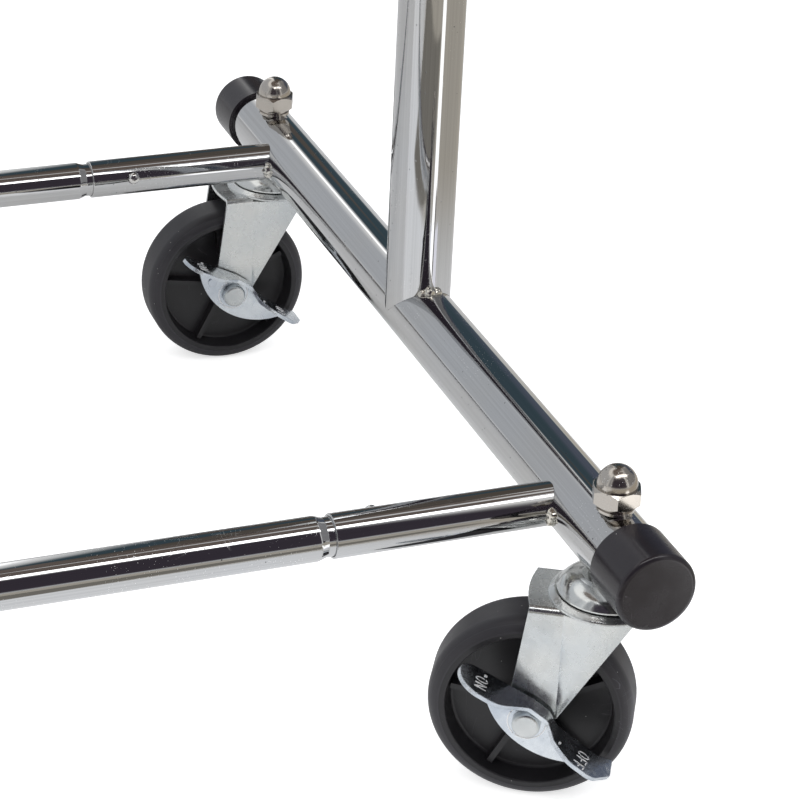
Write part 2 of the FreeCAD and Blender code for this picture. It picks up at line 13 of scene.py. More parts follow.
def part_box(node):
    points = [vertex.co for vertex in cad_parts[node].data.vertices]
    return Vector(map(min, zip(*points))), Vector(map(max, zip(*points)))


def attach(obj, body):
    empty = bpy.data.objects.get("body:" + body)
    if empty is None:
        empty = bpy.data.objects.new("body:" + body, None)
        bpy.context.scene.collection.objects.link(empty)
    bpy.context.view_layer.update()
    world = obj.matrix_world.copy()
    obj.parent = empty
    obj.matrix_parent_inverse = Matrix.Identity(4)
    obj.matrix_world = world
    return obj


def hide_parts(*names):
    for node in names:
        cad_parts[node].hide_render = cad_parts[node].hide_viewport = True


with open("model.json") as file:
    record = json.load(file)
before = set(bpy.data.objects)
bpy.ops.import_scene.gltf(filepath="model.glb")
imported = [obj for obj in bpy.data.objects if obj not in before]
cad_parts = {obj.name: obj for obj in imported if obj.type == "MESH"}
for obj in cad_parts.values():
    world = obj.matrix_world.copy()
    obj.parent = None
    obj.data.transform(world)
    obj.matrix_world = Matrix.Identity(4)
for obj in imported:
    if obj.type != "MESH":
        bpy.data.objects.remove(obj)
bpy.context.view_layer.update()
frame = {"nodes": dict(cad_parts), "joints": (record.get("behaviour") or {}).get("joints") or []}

# ---------------------------------------------------------------------------------------------
# Studio: a white sweep, a long soft box over the near end, and glowing boards, grey, black and
# white, hung around the rack, with glowing sheets laid on the floor. Polished tube shows nothing but its
# surroundings, so the boards and sheets are there for the metal alone, as painted reflections, and neither light the
# rack nor shade it.

foot_low, foot_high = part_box("right_foot_tube")
near_foot = (foot_low + foot_high) / 2

view_azimuth = math.radians(-21.909494)
view_elevation = math.radians(27.772603)
view_roll = math.radians(2.790548)
camera_data = bpy.data.cameras.new("camera")
camera_data.lens = 125.248
camera_data.sensor_width = 36.0
camera_data.clip_start = 0.01
camera = bpy.data.objects.new("camera", camera_data)
bpy.context.scene.collection.objects.link(camera)
backward = Vector((math.sin(view_azimuth) * math.cos(view_elevation),
                   -math.cos(view_azimuth) * math.cos(view_elevation), math.sin(view_elevation)))
level_right = Vector((math.cos(view_azimuth), math.sin(view_azimuth), 0.0))
level_up = backward.cross(level_right)
rightward = math.cos(view_roll) * level_right + math.sin(view_roll) * level_up
upward = -math.sin(view_roll) * level_right + math.cos(view_roll) * level_up
stand = near_foot + Vector((-0.5224, -1.2806, 0.6709))
camera.matrix_world = Matrix.Translation(stand) @ Matrix((rightward, upward, backward)).transposed().to_4x4()
bpy.context.scene.camera = camera
bpy.context.scene.view_settings.view_transform = "Standard"


def put(tree, kind, inputs=None, **settings):
    """Places a node; an input is a plain value or a (node, output) pair to link from."""
    made = tree.nodes.new(kind)
    for name, value in settings.items():
        setattr(made, name, value)
    for name, value in (inputs or {}).items():
        if isinstance(value, tuple) and isinstance(value[0], bpy.types.Node):
            tree.links.new(value[0].outputs[value[1]], made.inputs[name])
        else:
            made.inputs[name].default_value = value
    return made


def bare_material(name):
    """A material with an empty tree but for its output."""
    material = bpy.data.materials.new(name)
    material.use_nodes = True
    material.node_tree.nodes.clear()
    output = material.node_tree.nodes.new("ShaderNodeOutputMaterial")
    return material, material.node_tree, output


def staged(name, mesh, material):
    """A studio item, which is not part of the rack."""
    mesh.materials.append(material)
    item = bpy.data.objects.new(name, mesh)
    bpy.context.scene.collection.objects.link(item)
    return item


floor_reach = 30.0
floor_material, tree, output = bare_material("white_sweep")
matte = put(tree, "ShaderNodeBsdfDiffuse", {"Color": (0.80, 0.80, 0.80, 1.0)})
glow = put(tree, "ShaderNodeEmission", {"Color": (1.0, 1.0, 1.0, 1.0), "Strength": 0.62})
dark = put(tree, "ShaderNodeEmission", {"Strength": 0.0})
ray = put(tree, "ShaderNodeLightPath")
seen = put(tree, "ShaderNodeMixShader", {0: (ray, "Is Camera Ray"), 1: (dark, 0), 2: (glow, 0)})
both = put(tree, "ShaderNodeAddShader", {0: (matte, 0), 1: (seen, 0)})
tree.links.new(both.outputs[0], output.inputs["Surface"])
floor_mesh = bpy.data.meshes.new("floor")
floor_mesh.from_pydata([(-floor_reach, -floor_reach, 0.0), (floor_reach, -floor_reach, 0.0),
                        (floor_reach, floor_reach, 0.0), (-floor_reach, floor_reach, 0.0)], [], [(0, 1, 2, 3)])
staged("floor", floor_mesh, floor_material)

world = bpy.data.worlds.new("studio")
bpy.context.scene.world = world
world.use_nodes = True
tree = world.node_tree
tree.nodes.clear()
ray = put(tree, "ShaderNodeLightPath")
first = put(tree, "ShaderNodeMath", {0: (ray, "Is Camera Ray"), 1: (ray, "Is Glossy Ray")}, operation="MAXIMUM")
clear = put(tree, "ShaderNodeMath", {0: (first, 0), 1: (ray, "Is Transmission Ray")}, operation="MAXIMUM")
fill = put(tree, "ShaderNodeBackground", {"Color": (0.97, 0.98, 1.0, 1.0), "Strength": 0.62})
white = put(tree, "ShaderNodeBackground", {"Color": (1.0, 1.0, 1.0, 1.0), "Strength": 1.0})
sky = put(tree, "ShaderNodeMixShader", {0: (clear, 0), 1: (fill, 0), 2: (white, 0)})
put(tree, "ShaderNodeOutputWorld", {"Surface": (sky, 0)})


def lamp(name, place, aim, size, power, colour, in_metal):
    """A rectangular soft box; only those with in_metal show in the polished tube."""
    data = bpy.data.lights.new(name, "AREA")
    data.shape = "RECTANGLE"
    data.size, data.size_y = size
    data.energy = power
    data.color = colour
    box = bpy.data.objects.new(name, data)
    box.location = place
    box.rotation_euler = (Vector(aim) - Vector(place)).to_track_quat("-Z", "Y").to_euler()
    box.visible_camera = False
    box.visible_glossy = in_metal
    bpy.context.scene.collection.objects.link(box)


lamp("overhead_strip", near_foot + Vector((0.25, -0.70, 1.25)), near_foot + Vector((0.25, -0.70, 0.0)),
     (1.5, 0.27), 4.6, (1.0, 1.0, 1.0), True)
lamp("key_box", near_foot + Vector((-1.6, -1.5, 2.2)), near_foot, (1.8, 1.8), 26.0, (1.0, 0.99, 0.97), False)
lamp("side_box", near_foot + Vector((1.9, 0.3, 1.6)), near_foot, (1.4, 1.4), 9.0, (0.97, 0.98, 1.0), False)


def screen(name, spot, colour, soft):
    """A glowing sheet that only polished metal sees, a painted reflection; spot(u, v) places it and its edges fade
    out.
    """
    across, along = 28, 20
    points, faces, corners = [], [], []
    for j in range(along + 1):
        for i in range(across + 1):
            points.append(spot(i / across, j / along))
            corners.append((i / across, j / along))
    for j in range(along):
        for i in range(across):
            a = j * (across + 1) + i
            faces.append((a, a + 1, a + across + 2, a + across + 1))
    mesh = bpy.data.meshes.new(name)
    mesh.from_pydata(points, [], faces)
    sheet = mesh.uv_layers.new(name="sheet")
    for loop in mesh.loops:
        sheet.data[loop.index].uv = corners[loop.vertex_index]
    material, tree, output = bare_material(name)
    place = put(tree, "ShaderNodeUVMap", uv_map="sheet")
    split = put(tree, "ShaderNodeSeparateXYZ", {0: (place, 0)})
    edges = []
    for axis in ("X", "Y"):
        rest = put(tree, "ShaderNodeMath", {0: 1.0, 1: (split, axis)}, operation="SUBTRACT")
        near_edge = put(tree, "ShaderNodeMath", {0: (split, axis), 1: (rest, 0)}, operation="MINIMUM")
        edges.append(put(tree, "ShaderNodeMapRange", {"Value": (near_edge, 0), "From Min": 0.0, "From Max": soft},
                         interpolation_type="SMOOTHSTEP"))
    cover = put(tree, "ShaderNodeMath", {0: (edges[0], 0), 1: (edges[1], 0)}, operation="MULTIPLY")
    paint = put(tree, "ShaderNodeEmission", {"Color": (*colour, 1.0), "Strength": 1.0})
    gap = put(tree, "ShaderNodeBsdfTransparent")
    mix = put(tree, "ShaderNodeMixShader", {0: (cover, 0), 1: (gap, 0), 2: (paint, 0)})
    tree.links.new(mix.outputs[0], output.inputs["Surface"])
    item = staged(name, mesh, material)
    item.visible_camera = False
    item.visible_diffuse = False
    item.visible_transmission = False
    item.visible_shadow = False


def board(name, azimuths, elevations, colour, soft=0.12, distance=2.6):
    """A curved glowing board, a painted reflection, over a range of directions from the near foot."""
    def spot(u, v):
        turn = math.radians(azimuths[0] + (azimuths[1] - azimuths[0]) * u)
        rise = math.radians(elevations[0] + (elevations[1] - elevations[0]) * v)
        return near_foot + distance * Vector((math.cos(rise) * math.cos(turn), math.cos(rise) * math.sin(turn),
                                              math.sin(rise)))
    screen(name, spot, colour, soft)


def reflection_ring(name, azimuths, reaches, colour, soft, lift):
    """A glowing sheet on the floor, a painted reflection of paper, over a range of directions and distances from the
    near foot.
    """
    def spot(u, v):
        turn = math.radians(azimuths[0] + (azimuths[1] - azimuths[0]) * u)
        reach = reaches[0] + (reaches[1] - reaches[0]) * v
        return (near_foot.x + reach * math.cos(turn), near_foot.y + reach * math.sin(turn), lift)
    screen(name, spot, colour, soft)


def reflection_card(name, corners, colour, soft, lift):
    """A four-cornered glowing sheet on the floor, a painted reflection; its corners are measured from below the near
    foot.
    """
    def spot(u, v):
        weights = ((1 - u) * (1 - v), u * (1 - v), u * v, (1 - u) * v)
        return (near_foot.x + sum(w * c[0] for w, c in zip(weights, corners)),
                near_foot.y + sum(w * c[1] for w, c in zip(weights, corners)), lift)
    screen(name, spot, colour, soft)


# Boards seen only in the metal: painted reflections of walls, screens, ceiling and a bright edge.
board("back_board_grey", (86, 200), (-2, 50), (0.54, 0.56, 0.59))
board("right_board_teal", (38, 84), (-4, 72), (0.050, 0.078, 0.096))
board("edge_light", (83, 88), (-2, 62), (1.9, 1.9, 1.9), 0.3)
board("ceiling_warm", (0, 360), (64, 90), (0.16, 0.13, 0.115), 0.05)
board("camera_side_dark", (-152, -58), (-3, 60), (0.05, 0.042, 0.055))
board("right_wall", (-60, 42), (-3, 66), (0.28, 0.28, 0.29))
board("right_screen_blue", (4, 60), (3, 34), (0.095, 0.110, 0.150), 0.16, 2.5)
board("brown_low", (65, 80), (-4, 23), (0.105, 0.092, 0.082), 0.12, 2.5)
board("brown_high", (36, 74), (36, 72), (0.105, 0.090, 0.077), 0.08, 2.5)
board("left_wall", (196, 212), (-3, 66), (0.35, 0.36, 0.38))
# Sheets on the floor seen only in the metal: painted reflections of paper, card and tape, some glowing brighter than
# white.
reflection_ring("grey_paper_reflection", (-145, 62), (0.30, 3.2), (0.50, 0.465, 0.405), 0.10, 0.0010)
reflection_card("white_paper_reflection", ((-1.5, -0.25), (0.06, -0.50), (0.06, -0.05), (-1.5, -0.05)),
     (0.95, 0.96, 0.98), 0.10, 0.0015)
reflection_card("brown_card_reflection", ((-0.52, -0.27), (0.115, -0.60), (0.20, -0.85), (-0.75, -0.85)),
     (0.24, 0.225, 0.20), 0.06, 0.0020)
reflection_card("bright_card_reflection", ((0.045, -0.25), (0.08, -0.47), (0.30, -0.37), (0.17, -0.20)),
     (1.10, 1.10, 1.20), 0.08, 0.0025)
reflection_card("white_tape_reflection", ((0.062, -0.25), (0.242, -0.970), (0.469, -0.883), (0.123, -0.23)),
     (1.9, 1.9, 1.9), 0.10, 0.0030)
reflection_card("dark_tape_reflection", ((0.141, -0.332), (0.207, -0.488), (0.249, -0.468), (0.169, -0.318)),
     (0.22, 0.20, 0.19), 0.12, 0.0035)

# ---------------------------------------------------------------------------------------------
# Chromed frame: both feet, both posts, the rails and the stubs they plug into. Thin drawn steel
# tube, polished and bright plated; it keeps faint die lines along its length, pits and rub marks.


def shade_group(name, inputs, outputs):
    """An empty shared effect with its named inputs and outputs."""
    group = bpy.data.node_groups.new(name, "ShaderNodeTree")
    for label, kind, value in inputs:
        socket = group.interface.new_socket(label, in_out="INPUT", socket_type=kind)
        socket.default_value = value
    for label, kind in outputs:
        group.interface.new_socket(label, in_out="OUTPUT", socket_type=kind)
    return group, put(group, "NodeGroupInput"), put(group, "NodeGroupOutput")


number = "NodeSocketFloat"

specks, given, result = shade_group("specks", [("Scale", number, 400.0), ("Size", number, 0.2),
                                               ("Share", number, 0.3)], [("Mask", number)])
where = put(specks, "ShaderNodeTexCoord")
cells = put(specks, "ShaderNodeTexVoronoi", {"Vector": (where, "Object"), "Scale": (given, "Scale")})
dot = put(specks, "ShaderNodeMath", {0: (given, "Size"), 1: (cells, "Distance")}, operation="SUBTRACT")
dot_sharp = put(specks, "ShaderNodeMath", {0: (dot, 0), 1: 14.0}, operation="MULTIPLY", use_clamp=True)
pick = put(specks, "ShaderNodeSeparateColor", {0: (cells, "Color")})
chosen = put(specks, "ShaderNodeMath", {0: (pick, 0), 1: (given, "Share")}, operation="LESS_THAN")
mask = put(specks, "ShaderNodeMath", {0: (dot_sharp, 0), 1: (chosen, 0)}, operation="MULTIPLY")
specks.links.new(mask.outputs[0], result.inputs["Mask"])

mottle, given, result = shade_group("mottle", [("Scale", number, 60.0), ("Detail", number, 4.0),
                                               ("Low", number, 0.35), ("High", number, 0.65)],
                                    [("Mask", number)])
where = put(mottle, "ShaderNodeTexCoord")
cloud = put(mottle, "ShaderNodeTexNoise", {"Vector": (where, "Object"), "Scale": (given, "Scale"),
                                           "Detail": (given, "Detail"), "Roughness": 0.6})
level = put(mottle, "ShaderNodeMapRange", {"Value": (cloud, 0), "From Min": (given, "Low"),
                                           "From Max": (given, "High")})
mottle.links.new(level.outputs[0], result.inputs["Mask"])

die_lines, given, result = shade_group("die_lines", [("Scale", number, 40.0), ("Run", number, 0.3)],
                                       [("Mask", number)])
where = put(die_lines, "ShaderNodeTexCoord")
slide = put(die_lines, "ShaderNodeVectorMath", {0: (where, "Object")}, operation="SCALE")
die_lines.links.new(given.outputs["Run"], slide.inputs["Scale"])
round_about = put(die_lines, "ShaderNodeVectorMath", {0: (where, "Normal"), 1: (slide, 0)}, operation="ADD")
drawn = put(die_lines, "ShaderNodeTexNoise", {"Vector": (round_about, 0), "Scale": (given, "Scale"),
                                              "Detail": 3.0, "Roughness": 0.55})
level = put(die_lines, "ShaderNodeMapRange", {"Value": (drawn, 0), "From Min": 0.36, "From Max": 0.64})
die_lines.links.new(level.outputs[0], result.inputs["Mask"])

scratches, given, result = shade_group("scratches", [("Scale", number, 60.0), ("Stretch", number, 14.0),
                                                     ("Width", number, 0.02)], [("Mask", number)])
where = put(scratches, "ShaderNodeTexCoord")
marks = []
for turn in ((0.3, 0.9, 0.4), (1.2, 0.2, -0.7), (-0.5, 1.9, 1.1)):
    laid = put(scratches, "ShaderNodeMapping", {"Vector": (where, "Object"), "Rotation": turn})
    squeeze = put(scratches, "ShaderNodeCombineXYZ", {"X": 1.0, "Y": (given, "Stretch"), "Z": 1.0})
    thin = put(scratches, "ShaderNodeVectorMath", {0: (laid, 0), 1: (squeeze, 0)}, operation="MULTIPLY")
    field = put(scratches, "ShaderNodeTexNoise", {"Vector": (thin, 0), "Scale": (given, "Scale"), "Detail": 1.0})
    middle = put(scratches, "ShaderNodeMath", {0: (field, 0), 1: 0.5}, operation="SUBTRACT")
    size = put(scratches, "ShaderNodeMath", {0: (middle, 0)}, operation="ABSOLUTE")
    line = put(scratches, "ShaderNodeMath", {0: (size, 0), 1: (given, "Width")}, operation="LESS_THAN")
    patch = put(scratches, "ShaderNodeTexNoise", {"Vector": (laid, 0), "Scale": 45.0, "Detail": 1.0})
    here = put(scratches, "ShaderNodeMath", {0: (patch, 0), 1: 0.66}, operation="GREATER_THAN")
    marks.append(put(scratches, "ShaderNodeMath", {0: (line, 0), 1: (here, 0)}, operation="MULTIPLY"))
pair = put(scratches, "ShaderNodeMath", {0: (marks[0], 0), 1: (marks[1], 0)}, operation="MAXIMUM")
allof = put(scratches, "ShaderNodeMath", {0: (pair, 0), 1: (marks[2], 0)}, operation="MAXIMUM")
scratches.links.new(allof.outputs[0], result.inputs["Mask"])


def effect(tree, group, inputs):
    """A shared effect placed in a material with its own values."""
    made = tree.nodes.new("ShaderNodeGroup")
    made.node_tree = group
    for name, value in inputs.items():
        made.inputs[name].default_value = value
    return made


def tint(tree, mask, low, high):
    """Colour that runs from low to high with the mask."""
    return put(tree, "ShaderNodeMix", {"Factor": mask, "A": (*low, 1.0), "B": (*high, 1.0)}, data_type="RGBA")


def mix_colour(tree, mask, base, high):
    """Colour of a node, overlaid with a plain one where the mask is."""
    made = put(tree, "ShaderNodeMix", data_type="RGBA")
    tree.links.new(mask[0].outputs[mask[1]], made.inputs[0])
    tree.links.new(base.outputs[2], made.inputs[6])
    made.inputs[7].default_value = (*high, 1.0)
    return made


def ramp_value(tree, mask, low, high):
    """Number that runs from low to high with the mask."""
    return put(tree, "ShaderNodeMapRange", {"Value": mask, "To Min": low, "To Max": high})


def bumps(tree, layers, under=None):
    """Bump nodes in a chain over an optional normal; each layer is (mask, height in metres)."""
    last = under
    for mask, height in layers:
        inputs = {"Height": mask, "Distance": height, "Strength": 1.0}
        if last:
            inputs["Normal"] = (last, 0)
        last = put(tree, "ShaderNodeBump", inputs)
    return last


def plated(name, base, warm, rough, wave=0.00003, haze=0.06, lines=0.0):
    """Bright plate: colour drifts slightly, pits are dark, rub marks are duller."""
    material, tree, output = bare_material(name)
    drift = effect(tree, mottle, {"Scale": 9.0, "Detail": 3.0, "Low": 0.3, "High": 0.7})
    smear = effect(tree, mottle, {"Scale": 38.0, "Detail": 6.0, "Low": 0.42, "High": 0.78})
    ripple = effect(tree, mottle, {"Scale": 26.0, "Detail": 1.0, "Low": 0.0, "High": 1.0})
    pits = effect(tree, specks, {"Scale": 420.0, "Size": 0.20, "Share": 0.035})
    dots = effect(tree, specks, {"Scale": 1200.0, "Size": 0.28, "Share": 0.16})
    drifts = effect(tree, mottle, {"Scale": 13.0, "Detail": 3.0, "Low": 0.50, "High": 0.58})
    dust = put(tree, "ShaderNodeMath", {0: (dots, 0), 1: (drifts, 0)}, operation="MULTIPLY")
    rubs = effect(tree, scratches, {"Scale": 30.0, "Stretch": 16.0, "Width": 0.004})
    drawn = effect(tree, die_lines, {"Scale": 15.0, "Run": 0.30})
    colour = tint(tree, (drift, 0), base, warm)
    lined = put(tree, "ShaderNodeMix", {0: (drawn, 0)}, data_type="RGBA")
    darker = put(tree, "ShaderNodeMix", {0: lines, 7: (0.0, 0.0, 0.0, 1.0)}, data_type="RGBA")
    tree.links.new(colour.outputs[2], darker.inputs[6])
    tree.links.new(colour.outputs[2], lined.inputs[6])
    tree.links.new(darker.outputs[2], lined.inputs[7])
    pitted = mix_colour(tree, (pits, 0), lined, tuple(c * 0.35 for c in base))
    dusty = mix_colour(tree, (dust, 0), pitted, (0.92, 0.92, 0.92))
    dull = ramp_value(tree, (smear, 0), rough, rough + haze)
    rubbed = put(tree, "ShaderNodeMath", {0: (rubs, 0), 1: 0.12, 2: (dull, 0)}, operation="MULTIPLY_ADD")
    specked = put(tree, "ShaderNodeMath", {0: (dust, 0), 1: 0.4, 2: (rubbed, 0)}, operation="MULTIPLY_ADD")
    relief = bumps(tree, [((ripple, 0), wave), ((drawn, 0), lines * 0.00002), ((pits, 0), -0.00004),
                          ((rubs, 0), -0.000004)])
    shader = put(tree, "ShaderNodeBsdfPrincipled", {"Base Color": (dusty, 2), "Metallic": 1.0,
                                                    "Roughness": (specked, 0), "Normal": (relief, 0)})
    tree.links.new(shader.outputs[0], output.inputs["Surface"])
    return material


nodes = frame["nodes"]


def finish(name, material):
    """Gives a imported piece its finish."""
    slots = nodes[name].data.materials
    slots.clear()
    slots.append(material)


chrome = plated("chrome_plate", (0.60, 0.61, 0.625), (0.61, 0.605, 0.595), 0.035, lines=0.09)
for name in nodes:
    if name.endswith(("foot_tube", "post", "base_rail", "hanging_rail", "rail_stub")):
        finish(name, chrome)

# ---------------------------------------------------------------------------------------------
# Tack welds: short lumpy blobs of filler, run while the parts were held in a jig, then plated
# over with the tube. Each follows the seam where a stub or a post meets the tube it sits on.

MM = 0.001
weld_metal = plated("weld_metal", (0.68, 0.67, 0.65), (0.68, 0.64, 0.55), 0.07, 0.0005, 0.10)
bead_radius = 3.3 * MM
stub_half_angle = math.radians(27.0)
post_half_angle = math.radians(22.0)
bead_sag = math.radians(8.0)
tube_radius = (foot_high.z - foot_low.z) / 2


def weld_bead(mesh, seam, start, end, seed):
    """One blob swept along a seam; its skin heaps up where the rod paused."""
    steps, around = 34, 26
    rings = []
    for i in range(steps + 1):
        t = i / steps
        here = seam(start + (end - start) * t)
        ahead = seam(start + (end - start) * min(t + 0.01, 1.0)) - seam(start + (end - start) * max(t - 0.01, 0.0))
        ahead.normalize()
        side = ahead.orthogonal().normalized()
        other = ahead.cross(side)
        swell = math.sqrt(max(1.0 - (2 * t - 1) ** 2, 0.0)) if 0 < t < 1 else 0.02
        heap = 1.0 + 0.12 * math.sin(t * 13.0 + seed)
        ring = []
        for j in range(around):
            turn = 2 * math.pi * j / around
            across = side * math.cos(turn) + other * math.sin(turn)
            skin = (here + across * bead_radius) * 330.0 + Vector((seed, -seed, seed))
            lump = 1.0 + 0.42 * noise.noise(skin) + 0.16 * noise.noise(skin * 2.7)
            ring.append(mesh.verts.new(here + across * bead_radius * swell * heap * lump))
        rings.append(ring)
    for low, high in zip(rings, rings[1:]):
        for j in range(around):
            mesh.faces.new((low[j], low[(j + 1) % around], high[(j + 1) % around], high[j]))
    mesh.faces.new(rings[0][::-1])
    mesh.faces.new(rings[-1])


def smooth_piece(name, mesh, material, body):
    """A smooth-shaded piece made from a bmesh, riding on a body."""
    data = bpy.data.meshes.new(name)
    bmesh.ops.recalc_face_normals(mesh, faces=mesh.faces)
    mesh.to_mesh(data)
    mesh.free()
    for polygon in data.polygons:
        polygon.use_smooth = True
    data.materials.append(material)
    piece = bpy.data.objects.new(name, data)
    bpy.context.scene.collection.objects.link(piece)
    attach(piece, body)
    return piece


beads = bmesh.new()
bead_count = 0
for side in ("left", "right"):
    carrier_low, carrier_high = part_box(side + "_foot_tube")
    carrier_x = (carrier_low.x + carrier_high.x) / 2
    inward = -1.0 if carrier_x > 0 else 1.0
    for rail in ("front_base_rail", "rear_base_rail", "hanging_rail"):
        stub_low, stub_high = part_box(side + "_" + rail + "_stub")
        middle = (stub_low + stub_high) / 2
        stub_radius = (stub_high.z - stub_low.z) / 2

        def stub_seam(turn, middle=middle, stub_radius=stub_radius, rail=rail, x=carrier_x, inward=inward):
            y = stub_radius * math.cos(turn)
            z = stub_radius * math.sin(turn)
            away = y if rail == "hanging_rail" else z
            return Vector((x + inward * math.sqrt(tube_radius ** 2 - away ** 2), middle.y + y, middle.z + z))

        for facing in (-bead_sag, math.pi + bead_sag):
            bead_count += 1
            weld_bead(beads, stub_seam, facing - stub_half_angle, facing + stub_half_angle, bead_count * 1.7)
    for facing in (math.pi / 2, -math.pi / 2):

        def post_seam(turn, x=carrier_x, z=(carrier_low.z + carrier_high.z) / 2):
            across = tube_radius * math.cos(turn)
            return Vector((x + across, tube_radius * math.sin(turn), z + math.sqrt(tube_radius ** 2 - across ** 2)))

        bead_count += 1
        weld_bead(beads, post_seam, facing - post_half_angle, facing + post_half_angle, bead_count * 1.7)
weld_lumps = smooth_piece("weld_lumps", beads, weld_metal, "rack")
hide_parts("weld_beads")

# ---------------------------------------------------------------------------------------------
# Caps on the foot tubes and the posts: moulded black plastic with a satin skin, pushed on over
# the tube's end and held by their grip.


def plastic(name, base, high, rough, grain, dust_share, rings=()):
    """Moulded plastic or rubber; rings are (centre, axis, inner, outer, height) marks of the mould."""
    material, tree, output = bare_material(name)
    drift = effect(tree, mottle, {"Scale": 55.0, "Detail": 5.0, "Low": 0.35, "High": 0.7})
    fine = effect(tree, mottle, {"Scale": 900.0, "Detail": 2.0, "Low": 0.2, "High": 0.8})
    dust = effect(tree, specks, {"Scale": 900.0, "Size": 0.26, "Share": dust_share * 0.4})
    crumbs = effect(tree, specks, {"Scale": 230.0, "Size": 0.12, "Share": dust_share * 0.5})
    rubs = effect(tree, scratches, {"Scale": 26.0, "Stretch": 18.0, "Width": 0.004})
    colour = tint(tree, (drift, 0), base, high)
    layers = []
    for centre, axis, inner, outer, height in rings:
        where = put(tree, "ShaderNodeTexCoord")
        away = put(tree, "ShaderNodeVectorMath", {0: (where, "Object"), 1: centre}, operation="SUBTRACT")
        turned = put(tree, "ShaderNodeVectorMath", {0: (away, 0), 1: axis}, operation="CROSS_PRODUCT")
        radius = put(tree, "ShaderNodeVectorMath", {0: (turned, 0)}, operation="LENGTH")
        band = put(tree, "ShaderNodeMath", {0: (radius, 1), 1: (inner + outer) / 2, 2: (outer - inner) / 2},
                   operation="COMPARE")
        colour = mix_colour(tree, (band, 0), colour, tuple(c * 1.12 for c in high))
        layers.append(((band, 0), height))
    scuffed = mix_colour(tree, (rubs, 0), colour, tuple(c * 2.6 for c in high))
    dusty = mix_colour(tree, (dust, 0), scuffed, (0.32, 0.31, 0.30))
    littered = mix_colour(tree, (crumbs, 0), dusty, (0.40, 0.40, 0.40))
    dull = ramp_value(tree, (drift, 0), rough, rough + 0.1)
    relief = bumps(tree, layers + [((fine, 0), grain), ((rubs, 0), -0.00001), ((dust, 0), 0.00003)])
    shader = put(tree, "ShaderNodeBsdfPrincipled", {"Base Color": (littered, 2), "Roughness": (dull, 0),
                                                    "Normal": (relief, 0)})
    tree.links.new(shader.outputs[0], output.inputs["Surface"])
    return material


cap_plastic = plastic("cap_plastic", (0.0150, 0.0120, 0.0155), (0.0200, 0.0170, 0.0210), 0.19, 0.000005, 0.004)
for name in nodes:
    if name.endswith("_cap"):
        finish(name, cap_plastic)

# ---------------------------------------------------------------------------------------------
# Wheels: a hard rubber tyre moulded over a black plastic core. The tyre keeps the flat ring and
# the parting line of its mould on each side, and both carry a little dust and a few rubs.

joints = {joint["name"]: joint for joint in frame["joints"]}
casters = ("right_front", "right_rear", "left_front", "left_rear")
flat_ring = (41.5 * MM, 45.3 * MM, 0.06 * MM)
parting_line = (48.3 * MM, 48.6 * MM, 0.12 * MM)
for caster in casters:
    hinge = joints[caster + "_roll"]
    hub = (tuple(hinge["pos_m"]), tuple(hinge["axis"]))
    rubber = plastic(caster + "_tyre_rubber", (0.0195, 0.0182, 0.0225), (0.0265, 0.0250, 0.0300), 0.42, 0.00002, 0.02,
                     ((*hub, *flat_ring), (*hub, *parting_line)))
    finish(caster + "_tyre", rubber)
    core = plastic(caster + "_core_plastic", (0.0115, 0.0108, 0.0125), (0.018, 0.0172, 0.0195), 0.36, 0.000012, 0.012)
    finish(caster + "_wheel_core", core)

# ---------------------------------------------------------------------------------------------
# Caster forks, race covers and axle rivets: pressed sheet steel with a bright bluish zinc plate.
# The sheet is smooth on the legs; the drawn lip of the fork's dish is rippled from the press.


def zinc_plate(name, low, high, rough, ripple_height, edge, lip=None):
    """Zinc plate over pressed sheet; edges are eased, and lip is the height range of the drawn lip."""
    material, tree, output = bare_material(name)
    drift = effect(tree, mottle, {"Scale": 34.0, "Detail": 5.0, "Low": 0.35, "High": 0.65})
    patch = effect(tree, mottle, {"Scale": 140.0, "Detail": 6.0, "Low": 0.4, "High": 0.7})
    ripple = effect(tree, mottle, {"Scale": 150.0, "Detail": 3.0, "Low": 0.0, "High": 1.0})
    grain = effect(tree, mottle, {"Scale": 1500.0, "Detail": 2.0, "Low": 0.2, "High": 0.8})
    pits = effect(tree, specks, {"Scale": 1300.0, "Size": 0.22, "Share": 0.03})
    rubs = effect(tree, scratches, {"Scale": 40.0, "Stretch": 16.0, "Width": 0.006})
    colour = tint(tree, (drift, 0), low, high)
    pitted = mix_colour(tree, (pits, 0), colour, tuple(c * 0.4 for c in low))
    dull = ramp_value(tree, (patch, 0), rough, rough + 0.10)
    eased = put(tree, "ShaderNodeBevel", {"Radius": edge}, samples=6)
    layers = [((ripple, 0), ripple_height), ((grain, 0), 0.000004), ((pits, 0), -0.00003), ((rubs, 0), -0.00001)]
    if lip:
        where = put(tree, "ShaderNodeTexCoord")
        split = put(tree, "ShaderNodeSeparateXYZ", {0: (where, "Object")})
        above = put(tree, "ShaderNodeMath", {0: (split, "Z"), 1: lip[0]}, operation="GREATER_THAN")
        below = put(tree, "ShaderNodeMath", {0: (split, "Z"), 1: lip[1]}, operation="LESS_THAN")
        ring = put(tree, "ShaderNodeMath", {0: (above, 0), 1: (below, 0)}, operation="MULTIPLY")
        lumps = effect(tree, mottle, {"Scale": 210.0, "Detail": 2.0, "Low": 0.3, "High": 0.7})
        rough_lip = put(tree, "ShaderNodeMath", {0: (ring, 0), 1: (lumps, 0)}, operation="MULTIPLY")
        layers.append(((rough_lip, 0), 0.00014))
    relief = bumps(tree, layers, eased)
    shader = put(tree, "ShaderNodeBsdfPrincipled", {"Base Color": (pitted, 2), "Metallic": 1.0,
                                                    "Roughness": (dull, 0), "Normal": (relief, 0)})
    tree.links.new(shader.outputs[0], output.inputs["Surface"])
    return material


